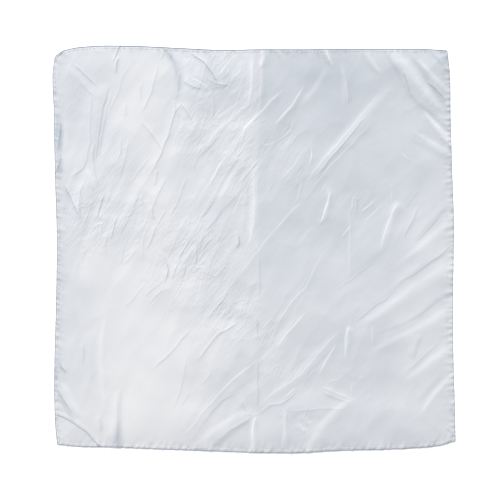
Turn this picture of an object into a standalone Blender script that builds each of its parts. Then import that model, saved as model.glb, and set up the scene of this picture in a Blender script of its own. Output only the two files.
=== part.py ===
# Square satin scarf laid flat on a table: one wrinkled panel of cloth and a narrow turned hem along each side.
# Row frame: +X runs to the cloth's right side, +Y to its far side and +Z up. The origin is under its middle.

import math
from collections import namedtuple

import bmesh
import bpy
import numpy as np
from mathutils import Vector
from mathutils.geometry import delaunay_2d_cdt

# Driving sizes, in millimetres
MM = 0.001
SIDE = 600.0  # nominal side of the finished square
PHOTO_SIDE_PIXELS = 400.0  # the same side in the 500 x 500 photograph
PIXEL = SIDE / PHOTO_SIDE_PIXELS
WALL = 1.2
HEM_WIDTH = 5.0
HEM_THICKNESS = 2.0
SEAM_GAP = 0.3
MITRE_GAP = 0.3

# Mesh steps, in millimetres
HEM_STEP = 8.0
FOLD_STEP = 15.0
FIELD_STEP = 34.0
FIELD_CLEARANCE = 16.0
NEAREST_POINTS = 4.5
EDGE_CLEARANCE = 4.0

# Gathers that the hem stitching draws up, in millimetres
GATHER_LENGTH = 24.0
GATHER_HEIGHT = 1.1
GATHER_REACH = 17.0

# Share of a fold's length over which each end runs out
FOLD_RUN_OUT = 0.22
CURVE_SAMPLES = 25

# Corners of the outline, as (x, y) pixels of the photograph
Corners = namedtuple("Corners", "near_left near_right far_left far_right")
CORNERS = Corners((57.0, 444.5), (455.5, 441.0), (55.0, 56.0), (447.5, 50.5))

# Edges between the corners, as (x, y) pixels of the photograph
NEAR_EDGE = (
    (75, 446.5), (110, 447.3), (160, 449.3), (215, 451.3), (262, 453.0),
    (300, 453.0), (340, 450.8), (380, 449.8), (410, 448.5), (440, 445.5),
)
FAR_EDGE = (
    (62, 51.3), (72, 48.3), (90, 46.2), (130, 45.8), (180, 48.0), (220, 49.8),
    (262, 49.2), (300, 49.2), (350, 48.8), (400, 48.9), (430, 49.2),
)
LEFT_EDGE = (
    (55.5, 430), (54.2, 400), (54.3, 365), (56.0, 300), (56.6, 235), (55.0, 180), (53.6, 110), (53.2, 66),
)
RIGHT_EDGE = (
    (455.0, 410), (453.3, 350), (453.2, 280), (454.0, 225), (451.8, 160), (450.5, 110), (450.0, 75),
)

# Largest folds: start, middle and end of each crest in pixels of the photograph,
# then the distance from crest to foot and the height, in millimetres
Fold = namedtuple("Fold", "start middle end reach height")
FOLDS = [Fold(*row) for row in (
    # far left: a sheaf of creases that runs down from the far edge
    ((113, 80), (104, 112), (96, 165), 7, 2.6),
    ((93, 92), (91, 130), (76, 175), 6, 1.8),
    ((74, 66), (84, 74), (96, 85), 9, 2.0),
    ((122, 44), (117, 60), (119, 76), 7, 2.0),
    ((159, 62), (153, 88), (142, 112), 7, 2.2),
    ((178, 44), (181, 72), (179, 96), 8, 2.4),
    ((184, 105), (171, 132), (152, 172), 7, 2.6),
    # far middle: creases that fan out from the pressed centre line
    ((190, 52), (206, 64), (216, 80), 6, 2.0),
    ((206, 86), (218, 88), (232, 82), 8, 2.8),
    ((253, 44), (252, 80), (245, 108), 8, 3.0),
    ((241, 101), (229, 110), (214, 118), 7, 2.2),
    ((236, 115), (216, 137), (194, 157), 10, 3.0),
    ((281, 92), (232, 152), (188, 224), 8, 3.0),
    ((256, 141), (230, 187), (200, 238), 9, 3.0),
    ((257, 164), (243, 182), (224, 205), 7, 2.6),
    ((301, 88), (291, 105), (277, 122), 7, 2.0),
    ((324, 70), (313, 90), (302, 107), 10, 2.2),
    ((298, 118), (293, 136), (276, 150), 7, 2.0),
    # far right: one long diagonal and the soft folds that run to the corner
    ((386, 85), (346, 134), (301, 196), 9, 3.4),
    ((394, 44), (420, 90), (460, 130), 16, 3.0),
    ((414, 42), (434, 68), (460, 86), 12, 2.2),
    ((400, 126), (428, 138), (460, 153), 12, 1.8),
    ((364, 42), (376, 66), (391, 79), 11, 1.8),
    # left of the middle
    ((82, 184), (80, 200), (79, 217), 6, 1.8),
    ((138, 192), (130, 211), (119, 232), 8, 2.6),
    ((164, 178), (159, 196), (152, 212), 6, 2.0),
    ((184, 176), (180, 198), (173, 222), 6, 2.0),
    ((117, 216), (113, 232), (105, 247), 7, 2.0),
    ((172, 285), (160, 291), (148, 299), 7, 2.0),
    ((190, 292), (187, 307), (180, 322), 7, 2.0),
    ((197, 232), (186, 242), (176, 260), 7, 2.2),
    # middle: the pressed centre line and what crosses it
    ((258, 108), (259, 170), (259, 250), 6, 2.4),
    ((254, 176), (254, 224), (238, 276), 8, 3.0),
    ((300, 203), (272, 231), (243, 277), 6, 2.0),
    ((236, 270), (222, 291), (196, 321), 8, 2.2),
    ((329, 195), (326, 206), (320, 223), 6, 2.2),
    ((258, 290), (258, 345), (258, 405), 5, 1.8),
    # right of the middle
    ((396, 201), (389, 224), (381, 249), 8, 3.0),
    ((414, 212), (405, 232), (392, 245), 9, 2.2),
    ((460, 209), (428, 240), (399, 269), 12, 2.4),
    ((460, 255), (412, 283), (360, 318), 12, 3.2),
    ((383, 261), (362, 276), (346, 302), 10, 2.4),
    ((460, 296), (412, 327), (361, 357), 10, 2.4),
    # near left
    ((48, 412), (80, 425), (104, 445), 7, 2.2),
    ((58, 386), (67, 403), (77, 420), 9, 2.0),
    ((118, 394), (120, 420), (121, 458), 8, 2.4),
    ((104, 316), (98, 352), (103, 398), 9, 1.8),
    # near middle
    ((242, 314), (215, 332), (196, 357), 14, 3.0),
    ((256, 359), (222, 391), (184, 438), 7, 2.6),
    ((303, 315), (289, 331), (277, 350), 8, 2.8),
    ((345, 327), (306, 366), (258, 414), 10, 3.4),
    ((332, 379), (288, 400), (257, 416), 7, 2.6),
    ((255, 416), (236, 424), (205, 436), 14, 2.6),
    ((257, 416), (252, 432), (254, 460), 8, 2.0),
    # near right
    ((338, 341), (328, 357), (321, 376), 8, 2.6),
    ((323, 387), (336, 392), (350, 399), 8, 2.8),
    ((353, 398), (330, 417), (302, 458), 12, 2.8),
    ((412, 326), (409, 350), (402, 374), 10, 2.0),
    ((450, 343), (420, 371), (386, 391), 11, 2.4),
    ((461, 364), (436, 392), (420, 419), 10, 2.2),
    ((422, 383), (411, 396), (398, 418), 10, 2.0),
)]

# Cross-section of the hem: distance in from the cloth's edge, then height over its underside
HEM_SECTION = (
    (0.7, 0.0),
    (HEM_WIDTH, 0.0),
    (HEM_WIDTH, WALL),
    (HEM_WIDTH - 1.0, HEM_THICKNESS),
    (1.0, HEM_THICKNESS),
    (0.0, 0.5 * HEM_THICKNESS),
)

SATIN_COLOUR = (0.72, 0.75, 0.80, 1.0)
HEM_COLOUR = (0.66, 0.70, 0.77, 1.0)
SATIN_ROUGHNESS = 0.38


def smooth_through(stations, values, at):
    """A smooth curve through the points (stations, values), read at each place in at."""
    stations, values = np.array(stations, float), np.array(values, float)
    slopes = np.gradient(values, stations)
    cell = np.clip(np.searchsorted(stations, at) - 1, 0, len(stations) - 2)
    span = stations[cell + 1] - stations[cell]
    t = (at - stations[cell]) / span
    return (
        (2 * t**3 - 3 * t**2 + 1) * values[cell]
        + (t**3 - 2 * t**2 + t) * span * slopes[cell]
        + (3 * t**2 - 2 * t**3) * values[cell + 1]
        + (t**3 - t**2) * span * slopes[cell + 1]
    )


def from_photo(points):
    """Pixels of the photograph as millimetres in the row frame, before the outline is centred."""
    points = np.array(points, float)
    return np.stack([points[:, 0] * PIXEL, -points[:, 1] * PIXEL], axis=1)


class Outline:
    """The four edges of the cloth, and the patch of points between them."""

    def __init__(self):
        c = CORNERS
        self.near = from_photo((c.near_left, *NEAR_EDGE, c.near_right))
        self.far = from_photo((c.far_left, *FAR_EDGE, c.far_right))
        self.left = from_photo((c.near_left, *LEFT_EDGE, c.far_left))
        self.right = from_photo((c.near_right, *RIGHT_EDGE, c.far_right))
        share = np.linspace(0, 1, 400)
        loop = np.concatenate(
            [self.run(self.near, 0, share), self.run(self.far, 0, share),
             self.run(self.left, 1, share), self.run(self.right, 1, share)]
        )
        self.centre = (loop.min(0) + loop.max(0)) / 2
        for edge in (self.near, self.far, self.left, self.right):
            edge -= self.centre

    def run(self, edge, axis, share):
        """Points along an edge, at these shares of the way from its first corner to its last."""
        along = edge[0, axis] + share * (edge[-1, axis] - edge[0, axis])
        across = smooth_through(edge[:, axis], edge[:, 1 - axis], along)
        return np.stack([along, across] if axis == 0 else [across, along], axis=1)

    def patch(self, u, v):
        """The cloth's points at shares u of the way to its right edge and v to its far edge."""
        u, v = np.broadcast_arrays(np.asarray(u, float), np.asarray(v, float))
        a, b = u[:, None], v[:, None]
        flat = (
            (1 - a) * (1 - b) * self.near[0] + a * (1 - b) * self.near[-1]
            + (1 - a) * b * self.far[0] + a * b * self.far[-1]
        )
        return (
            (1 - b) * self.run(self.near, 0, u) + b * self.run(self.far, 0, u)
            + (1 - a) * self.run(self.left, 1, v) + a * self.run(self.right, 1, v)
            - flat
        )

    def place(self, pixels):
        """Pixels of the photograph as millimetres in the row frame."""
        return from_photo(pixels) - self.centre

    def depth(self, points):
        """How far each point lies inside the left, right, near and far edges."""
        x, y = points[:, 0], points[:, 1]
        return np.stack([
            x - smooth_through(self.left[:, 1], self.left[:, 0], y),
            smooth_through(self.right[:, 1], self.right[:, 0], y) - x,
            y - smooth_through(self.near[:, 0], self.near[:, 1], x),
            smooth_through(self.far[:, 0], self.far[:, 1], x) - y,
        ])


def crest_of(outline, fold, samples):
    """Points along a fold's crest: a parabola through its start, middle and end."""
    start, middle, end = outline.place((fold.start, fold.middle, fold.end))
    t = np.linspace(0, 1, samples)[:, None]
    return (1 - t) * (1 - 2 * t) * start + 4 * t * (1 - t) * middle + t * (2 * t - 1) * end


def fold_lift(outline, fold, points):
    """The height that one fold adds at each point: a straight-sided ridge that runs out at both ends."""
    crest = crest_of(outline, fold, CURVE_SAMPLES)
    low, high = crest.min(0) - fold.reach, crest.max(0) + fold.reach
    near = np.flatnonzero(((points > low) & (points < high)).all(1))
    lift = np.zeros(len(points))
    best = np.full(len(near), np.inf)
    where = np.zeros(len(near))
    for i, (a, b) in enumerate(zip(crest[:-1], crest[1:])):
        d = b - a
        t = np.clip(((points[near] - a) @ d) / (d @ d), 0, 1)
        away = np.linalg.norm(points[near] - a - t[:, None] * d, axis=1)
        closer = away < best
        best[closer] = away[closer]
        where[closer] = (i + t[closer]) / (CURVE_SAMPLES - 1)
    run_out = np.clip(np.minimum(where, 1 - where) / FOLD_RUN_OUT, 0, 1)
    run_out = run_out * (2 - run_out)
    lift[near] = fold.height * run_out * np.clip(1 - best / fold.reach, 0, 1)
    return lift


def gather_wave(along, phase):
    """Height of the hem's gathers along one edge, from 0 to 1 and uneven in size."""
    turn = 2 * math.pi
    wave = np.sin(turn * along / GATHER_LENGTH + 1.1 * np.sin(turn * along / 97 + phase))
    return np.clip(wave, 0, 1) * (0.62 + 0.38 * np.sin(turn * along / 151 + 2 * phase))


def gather_lift(outline, points):
    """Height of the gathers, which die away from each edge into the cloth."""
    x, y = points[:, 0], points[:, 1]
    depth = np.clip(outline.depth(points), 0, None)
    near_edge = np.clip(1 - depth / GATHER_REACH, 0, 1)
    clear_of_corner = np.clip(np.sort(depth, axis=0)[1] / (2 * GATHER_REACH), 0, 1)
    lift = np.zeros(len(points))
    for side, along in enumerate((y, y, x, x)):
        lift = np.maximum(lift, near_edge[side] * gather_wave(along, 0.8 + 1.7 * side))
    return GATHER_HEIGHT * lift * clear_of_corner


def lift_of(outline, points):
    """Height of the cloth's underside over the table."""
    lift = gather_lift(outline, points)
    for fold in FOLDS:
        lift = np.maximum(lift, fold_lift(outline, fold, points))
    return lift


class PointSet:
    """Points of the panel in plan. A new point near an old one becomes the old one."""

    def __init__(self):
        self.points = []

    def add(self, point, nearest=NEAREST_POINTS):
        if self.points:
            away = np.linalg.norm(np.array(self.points) - point, axis=1)
            if away.min() < nearest:
                return int(away.argmin())
        self.points.append(point)
        return len(self.points) - 1


def panel_rim(outline):
    """The panel's own edge, a seam gap inside the hem, once round."""
    inset = (HEM_WIDTH + SEAM_GAP) / SIDE
    steps = round(SIDE / HEM_STEP)
    run = inset + (1 - 2 * inset) * np.arange(steps) / steps
    flat = np.full(steps, inset)
    return np.concatenate([
        outline.patch(run, flat),
        outline.patch(1 - flat, run),
        outline.patch(1 - run, 1 - flat),
        outline.patch(flat, 1 - run),
    ])


def panel_plan(outline):
    """Points and triangles of the panel in plan, with mesh edges along the folds' crests."""
    plan, edges = PointSet(), []
    rim = [plan.add(p, 0.5) for p in panel_rim(outline)]
    edges += zip(rim, rim[1:] + rim[:1])
    margin = HEM_WIDTH + SEAM_GAP + EDGE_CLEARANCE

    def inside(points):
        return outline.depth(points).min(0) > margin

    feet = []
    for fold in FOLDS:
        length = np.linalg.norm(np.diff(crest_of(outline, fold, CURVE_SAMPLES), axis=0), axis=1).sum()
        crest = crest_of(outline, fold, max(3, round(length / FOLD_STEP) + 1))
        along = np.gradient(crest, axis=0)
        along /= np.linalg.norm(along, axis=1)[:, None]
        across = np.stack([-along[:, 1], along[:, 0]], axis=1)
        kept = [plan.add(p) for p, good in zip(crest, inside(crest)) if good]
        edges += [(a, b) for a, b in zip(kept, kept[1:]) if a != b]
        for side in (-1, 1):
            foot = crest[1:-1] + side * fold.reach * across[1:-1]
            feet += [p for p, good in zip(foot, inside(foot)) if good]
    for foot in feet:
        plan.add(foot)
    steps = round(SIDE / FIELD_STEP)
    for row in range(1, steps):
        for column in range(1, steps):
            spot = outline.patch([(column + 0.5 * (row % 2) - 0.25) / steps], [row / steps])
            if inside(spot)[0]:
                plan.add(spot[0], FIELD_CLEARANCE)
    points, _, faces, *_ = delaunay_2d_cdt([Vector(p) for p in plan.points], edges, [], 1, 0.05)
    return np.array([tuple(p) for p in points]), faces


def add_solid(name, bm, colour):
    """Makes a bmesh in millimetres a named object in metres, with its own satin material."""
    bmesh.ops.recalc_face_normals(bm, faces=bm.faces)
    bmesh.ops.triangulate(bm, faces=bm.faces)
    bmesh.ops.scale(bm, vec=(MM, MM, MM), verts=bm.verts)
    mesh = bpy.data.meshes.new(name)
    bm.to_mesh(mesh)
    bm.free()
    material = bpy.data.materials.new(name + "_satin")
    material.use_nodes = True
    shader = material.node_tree.nodes["Principled BSDF"]
    shader.inputs["Base Color"].default_value = colour
    shader.inputs["Roughness"].default_value = SATIN_ROUGHNESS
    mesh.materials.append(material)
    mesh.shade_smooth()
    made = bpy.data.objects.new(name, mesh)
    bpy.context.scene.collection.objects.link(made)
    return made


def make_panel(outline):
    """The square of cloth inside the hems: one wall of even thickness over every fold."""
    points, faces = panel_plan(outline)
    lift = lift_of(outline, points)
    bm = bmesh.new()
    under = [bm.verts.new((x, y, z)) for (x, y), z in zip(points, lift)]
    for face in faces:
        bm.faces.new([under[i] for i in face])
    raised = bmesh.ops.extrude_face_region(bm, geom=bm.faces[:])
    over = [v for v in raised["geom"] if isinstance(v, bmesh.types.BMVert)]
    bmesh.ops.translate(bm, vec=(0, 0, WALL), verts=over)
    add_solid("scarf_panel", bm, SATIN_COLOUR)


def make_hem(outline, name, locate):
    """One turned hem, from mitre to mitre. locate gives u and v from shares along and in from its edge."""
    steps = round(SIDE / HEM_STEP)
    bm = bmesh.new()
    rings = [[] for _ in range(steps + 1)]
    for inset, rise in HEM_SECTION:
        end = (inset + MITRE_GAP) / SIDE
        run = end + (1 - 2 * end) * np.arange(steps + 1) / steps
        points = outline.patch(*locate(run, np.full(steps + 1, inset / SIDE)))
        for ring, (x, y), z in zip(rings, points, lift_of(outline, points)):
            ring.append(bm.verts.new((x, y, z + rise)))
    for ring, following in zip(rings, rings[1:]):
        for i in range(len(ring)):
            j = (i + 1) % len(ring)
            bm.faces.new((ring[i], ring[j], following[j], following[i]))
    bm.faces.new(rings[0])
    bm.faces.new(rings[-1])
    add_solid(name, bm, HEM_COLOUR)


def main():
    for old in list(bpy.data.objects):
        bpy.data.objects.remove(old)
    outline = Outline()
    make_panel(outline)
    make_hem(outline, "hem_near", lambda run, inset: (run, inset))
    make_hem(outline, "hem_far", lambda run, inset: (run, 1 - inset))
    make_hem(outline, "hem_left", lambda run, inset: (inset, run))
    make_hem(outline, "hem_right", lambda run, inset: (1 - inset, run))


main()
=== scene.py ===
import math

import bmesh
import bpy
import numpy as np
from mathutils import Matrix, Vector


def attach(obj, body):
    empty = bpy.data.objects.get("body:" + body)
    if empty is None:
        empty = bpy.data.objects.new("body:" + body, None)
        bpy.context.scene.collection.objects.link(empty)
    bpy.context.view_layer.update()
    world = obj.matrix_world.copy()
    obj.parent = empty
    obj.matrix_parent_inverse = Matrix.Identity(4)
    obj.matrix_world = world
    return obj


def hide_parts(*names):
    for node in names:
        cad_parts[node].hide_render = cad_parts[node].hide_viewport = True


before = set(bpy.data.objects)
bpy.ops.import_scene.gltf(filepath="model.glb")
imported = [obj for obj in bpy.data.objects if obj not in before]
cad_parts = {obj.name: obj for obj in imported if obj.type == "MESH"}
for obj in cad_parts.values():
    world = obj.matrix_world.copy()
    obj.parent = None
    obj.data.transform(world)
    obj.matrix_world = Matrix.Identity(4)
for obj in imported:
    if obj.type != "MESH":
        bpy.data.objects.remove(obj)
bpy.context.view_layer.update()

# The photo is 500 pixels square and taken from straight above. Creases are placed in its pixels
photo = {
    "pixel": 0.0015,  # metres of cloth under one pixel
    "middle": (254.6, 249.55),  # the pixel over the part's origin
    "frameMiddle": (250.0, 250.0),
}


def place(points):
    # photo pixels to metres on the table
    points = np.array(points, float)
    x = (points[..., 0] - photo["middle"][0]) * photo["pixel"]
    y = (photo["middle"][1] - points[..., 1]) * photo["pixel"]
    return np.stack([x, y], axis=-1)


# the scarf's corners, and points along its four sides, in pixels
edges = {
    "cornerNearLeft": (57.0, 444.5),
    "cornerNearRight": (455.5, 441.0),
    "cornerFarLeft": (55.0, 56.0),
    "cornerFarRight": (447.5, 50.5),
    "near": ((75, 446.5), (110, 447.3), (160, 449.3), (215, 451.3), (262, 453.0),
             (300, 453.0), (340, 450.8), (380, 449.8), (410, 448.5), (440, 445.5)),
    "far": ((62, 51.3), (72, 48.3), (90, 46.2), (130, 45.8), (180, 48.0), (220, 49.8),
            (262, 49.2), (300, 49.2), (350, 48.8), (400, 48.9), (430, 49.2)),
    "left": ((55.5, 430), (54.2, 400), (54.3, 365), (56.0, 300), (56.6, 235),
             (55.0, 180), (53.6, 110), (53.2, 66)),
    "right": ((455.0, 410), (453.3, 350), (453.2, 280), (454.0, 225), (451.8, 160),
              (450.5, 110), (450.0, 75)),
}


def sideCurve(start, side, end):
    return place((edges[start], *edges[side], edges[end]))


outline = {
    "near": sideCurve("cornerNearLeft", "near", "cornerNearRight"),
    "far": sideCurve("cornerFarLeft", "far", "cornerFarRight"),
    "left": sideCurve("cornerNearLeft", "left", "cornerFarLeft"),
    "right": sideCurve("cornerNearRight", "right", "cornerFarRight"),
}


def smoothThrough(stations, values, at):
    # a smooth curve through (stations, values), read at each place in at
    slopes = np.gradient(values, stations)
    cell = np.clip(np.searchsorted(stations, at) - 1, 0, len(stations) - 2)
    span = stations[cell + 1] - stations[cell]
    t = (at - stations[cell]) / span
    return ((2 * t**3 - 3 * t**2 + 1) * values[cell] + (t**3 - 2 * t**2 + t) * span * slopes[cell]
            + (3 * t**2 - 2 * t**3) * values[cell + 1] + (t**3 - t**2) * span * slopes[cell + 1])


def sideAt(side, axis, along):
    # how far out a side lies: its y where it runs along x, or its x where it runs along y, axis 1
    curve = outline[side]
    return smoothThrough(curve[:, axis], curve[:, 1 - axis], along)


def sidePoints(side, axis, share):
    curve = outline[side]
    along = curve[0, axis] + share * (curve[-1, axis] - curve[0, axis])
    out = sideAt(side, axis, along)
    return np.stack([along, out] if axis == 0 else [out, along], axis=1)


def spreadOut(u, v):
    # points of the cloth at shares u of the way to its right side and v of the way to its far side
    a, b = u[:, None], v[:, None]
    near, far = outline["near"], outline["far"]
    corners = (1 - a) * (1 - b) * near[0] + a * (1 - b) * near[-1] + (1 - a) * b * far[0] + a * b * far[-1]
    return ((1 - b) * sidePoints("near", 0, u) + b * sidePoints("far", 0, u)
            + (1 - a) * sidePoints("left", 1, v) + a * sidePoints("right", 1, v) - corners)


def depthsInside(points):
    # how far each point lies inside the left, right, near and far sides
    x, y = points[:, 0], points[:, 1]
    return np.stack([
        x - sideAt("left", 1, y),
        sideAt("right", 1, y) - x,
        y - sideAt("near", 0, x),
        sideAt("far", 0, x) - y,
    ])


def depthInside(points):
    return depthsInside(points).min(0)


cloth = {
    "side": 0.600,
    "wall": 0.0006,
    "tuckedIn": 0.0030,  # how far in its own edge lies, inside the turned hem
    "pale": (0.591, 0.617, 0.656),  # the satin's colour where the painted shading is 1
    "deep": (0.11, 0.20, 0.315),  # and where it is 0: the bluish colour of painted shade
    "coarseCells": 96,  # grid cells along each side
    "refine": 2,  # cuts of each edge of the upper face
    "rest": 0.0003,  # the underside's least height over z = 0
    "middleRise": 0.0030,  # how much higher the cloth lies away from its edges
    "edgeRise": 0.06,  # how far in from the edges the cloth takes to rise
    "bandRise": 0.02,  # and how far in the bands take to reach their full height
    "bandAtEdge": 0.4,  # their share of it at the very edge
    "settle": 0.0002,  # how softly the lowest places meet the table
    "litFrom": (-0.25, 0.97),  # plan direction of the main light
    "runOut": 0.28,  # share of a crease over which each end fades
    "edgeRun": 0.012,  # a crease that ends this near the edge doesn't fade there
}

# Creases, in photo pixels: points along the crest, and last the strength.
# A dark line falls away steeply on its shaded side, and a bright one on its lit side
darkLines = (
    # pressed lines
    ((259, 254), (260, 276), (259, 298), 0.5),
    ((257, 316), (257, 328), (258, 340), 0.6),
    ((258, 360), (258, 384), (258, 406), 0.6),
    # upper left
    ((53, 60), (59, 56), (65, 49), 1.9),
    ((121, 46), (117, 53), (114, 62), 1.2),
    ((119, 57), (117, 64), (117, 73), 1.0),
    ((136, 58), (124, 76), (119, 93), (112, 107), (101, 134), 0.4),
    ((110, 84), (103, 110), (99, 138), (96, 165), 0.5),
    ((114, 88), (107, 112), (103, 134), (99, 158), 0.5),
    ((96, 142), (94, 162), (99, 186), 0.6),
    ((92, 90), (91, 118), (90, 145), (83, 168), (70, 178), 0.5),
    ((73, 65), (84, 74), (97, 87), 0.7),
    ((80, 82), (86, 89), (93, 96), 0.4),
    ((159, 62), (154, 85), (149, 99), (142, 114), 0.6),
    ((142, 84), (141, 92), (142, 100), 0.4),
    ((127, 103), (126, 110), (125, 117), 0.4),
    ((183, 103), (175, 114), (168, 137), (159, 159), (150, 176), 0.9),
    ((174, 101), (176, 107), (175, 114), 0.6),
    ((140, 122), (153, 136), (161, 150), 0.5),
    ((121, 137), (121, 148), (119, 161), 0.5),
    ((130, 138), (125, 160), (120, 181), 0.4),
    ((150, 157), (141, 169), (132, 183), 0.5),
    ((157, 169), (157, 177), (155, 186), 0.6),
    ((164, 48), (164, 53), (161, 60), 0.6),
    ((169, 48), (171, 53), (171, 60), 0.6),
    ((165, 50), (175, 64), (174, 81), 0.5),
    ((180, 72), (179, 84), (177, 99), 0.5),
    ((181, 104), (186, 111), (191, 121), 0.5),
    ((61, 122), (60, 134), (59, 147), 0.9),
    ((61, 156), (59, 165), (55, 175), 0.9),
    # upper centre
    ((192, 54), (204, 63), (213, 75), (217, 83), 1.0),
    ((208, 79), (216, 84), (231, 86), 0.8),
    ((183, 79), (191, 86), (203, 89), 0.7),
    ((213, 87), (214, 104), (214, 120), 0.4),
    ((259, 98), (241, 114), (227, 125), 0.35),
    ((219, 135), (208, 149), (197, 160), (194, 175), 0.55),
    ((256, 136), (246, 145), (235, 163), (222, 183), (208, 207), (193, 232), 0.5),
    ((242, 186), (236, 196), (226, 206), 0.3),
    ((259, 160), (250, 172), (240, 184), 0.8),
    ((217, 194), (211, 206), (201, 218), 1.1),
    ((224, 206), (216, 219), (206, 232), 0.6),
    # upper right
    ((367, 116), (354, 131), (341, 147), (327, 164), (315, 178), 0.9),
    ((402, 71), (406, 80), (409, 92), 0.8),
    ((412, 58), (421, 67), (431, 76), 0.2),
    ((426, 82), (435, 89), (444, 99), 0.9),
    ((438, 137), (445, 142), (452, 149), 0.5),
    ((424, 150), (438, 156), (452, 162), 0.2),
    # middle left
    ((64, 184), (70, 198), (78, 216), 1.0),
    ((83, 183), (80, 204), (82, 225), 0.5),
    ((105, 193), (101, 206), (97, 220), 1.0),
    ((111, 193), (110, 197), (109, 202), 0.4),
    ((141, 190), (134, 208), (128, 221), (121, 234), 0.6),
    ((142, 194), (143, 200), (143, 207), 0.4),
    ((167, 177), (158, 197), (151, 210), 0.6),
    ((152, 207), (153, 212), (155, 219), 0.9),
    ((187, 177), (180, 198), (170, 218), 0.5),
    ((165, 211), (162, 218), (159, 225), 0.4),
    ((117, 217), (114, 228), (111, 240), 0.8),
    ((103, 222), (102, 229), (102, 237), 0.5),
    ((109, 234), (107, 241), (105, 249), 0.5),
    ((149, 225), (144, 241), (144, 261), 0.3),
    ((157, 225), (153, 237), (147, 250), 0.7),
    ((138, 247), (132, 256), (124, 265), 0.6),
    ((125, 245), (123, 255), (122, 265), 0.3),
    ((160, 251), (168, 266), (165, 282), 1.1),
    ((179, 235), (174, 246), (168, 257), 0.4),
    ((190, 239), (185, 249), (179, 259), 0.8),
    ((177, 265), (175, 271), (172, 278), 0.6),
    ((185, 265), (185, 271), (183, 278), 0.5),
    ((164, 279), (155, 288), (145, 296), 0.5),
    ((165, 288), (159, 294), (151, 300), 0.4),
    ((146, 284), (136, 296), (125, 308), 0.4),
    # middle centre
    ((237, 231), (239, 239), (238, 248), 1.0),
    ((197, 248), (197, 257), (195, 266), 0.6),
    ((228, 263), (223, 270), (217, 279), 0.4),
    ((229, 292), (219, 305), (207, 320), 0.6),
    # middle right
    ((357, 193), (357, 204), (357, 216), 0.4),
    ((420, 188), (413, 198), (405, 209), 0.3),
    ((419, 207), (412, 221), (403, 239), 0.6),
    ((438, 217), (428, 229), (416, 242), 0.5),
    ((449, 247), (425, 267), (397, 284), 0.6),
    ((397, 289), (380, 303), (368, 311), (356, 322), 0.7),
    ((373, 262), (355, 277), (335, 291), 0.4),
    ((435, 303), (425, 311), (413, 319), 0.3),
    # lower left
    ((52, 414), (68, 419), (82, 429), (100, 446), 1.2),
    ((58, 390), (65, 402), (72, 413), 0.7),
    ((60, 361), (62, 367), (66, 373), 1.1),
    ((83, 343), (84, 353), (84, 365), 0.5),
    ((116, 391), (118, 410), (118, 430), (119, 449), 0.25),
    ((100, 415), (101, 423), (102, 431), 0.5),
    ((192, 328), (173, 350), (152, 370), 0.8),
    ((187, 353), (183, 380), (173, 411), 0.3),
    ((191, 391), (187, 397), (182, 405), 0.4),
    # lower centre
    ((242, 321), (220, 334), (208, 347), (198, 362), 1.0),
    ((241, 392), (227, 398), (219, 404), (196, 433), 0.4),
    ((300, 389), (284, 403), (270, 406), (259, 415), 0.7),
    ((259, 413), (248, 420), (236, 427), (218, 440), 0.6),
    ((242, 400), (244, 406), (246, 412), 0.5),
    ((212, 372), (208, 378), (201, 386), 0.5),
    ((288, 412), (304, 411), (326, 409), (348, 410), 0.5),
    # lower right
    ((321, 392), (335, 398), (351, 404), 0.5),
    ((440, 341), (422, 358), (404, 374), 0.4),
    ((446, 428), (450, 431), (454, 435), 0.8),
)
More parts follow.
